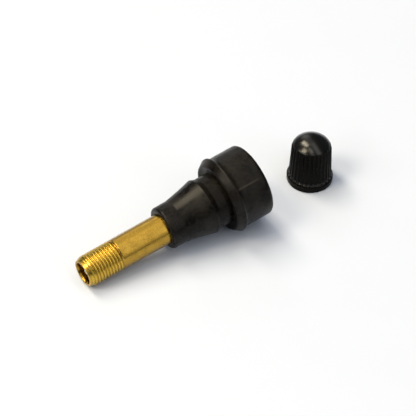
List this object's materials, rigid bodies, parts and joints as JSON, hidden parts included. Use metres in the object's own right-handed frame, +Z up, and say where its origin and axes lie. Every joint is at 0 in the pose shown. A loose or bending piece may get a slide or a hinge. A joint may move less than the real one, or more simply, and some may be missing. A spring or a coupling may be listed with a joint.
{
  "type": "tyre valve",
  "caption": "Snap-in tyre valve: brass stem with a sprung core in a moulded rubber body that seals in a wheel rim's hole, lying beside its fluted screw cap.",
  "frame": {"origin": "on the table, at the middle of the set's footprint; the stem's axis lies in the plane y = 0", "axes": "+Z up from the table; +X along the valve from the stem's tip towards the head and the cap; +Y to the far side"},
  "size_m": [0.0722, 0.019, 0.0195],
  "materials": {
    "stem_brass": "turned, slightly brushed",
    "core_brass": "turned",
    "pin_steel": "plated",
    "gasket_plastic": "PTFE, matt",
    "body_rubber": "moulded, satin",
    "seal_rubber": "moulded, matt",
    "cap_plastic": "moulded, glossy"
  },
  "bodies": {
    "valve": {"valve_stem": "stem_brass", "rubber_body": "body_rubber", "core_plug": "core_brass", "core_barrel": "core_brass", "core_gasket": "gasket_plastic", "core_spring": "pin_steel", "cap": "cap_plastic", "cap_seal": "seal_rubber"},
    "plunger": {"core_pin": "pin_steel", "core_cup": "core_brass", "core_washer": "seal_rubber"}
  },
  "joints": [
    {"name": "pin_press", "type": "slide", "parent": "valve", "child": "plunger", "axis": [0.989, 0, 0.148], "range_m": [0, 0.0015], "stiffness_N_per_m": 300, "deforming": ["core_spring"]}
  ]
}
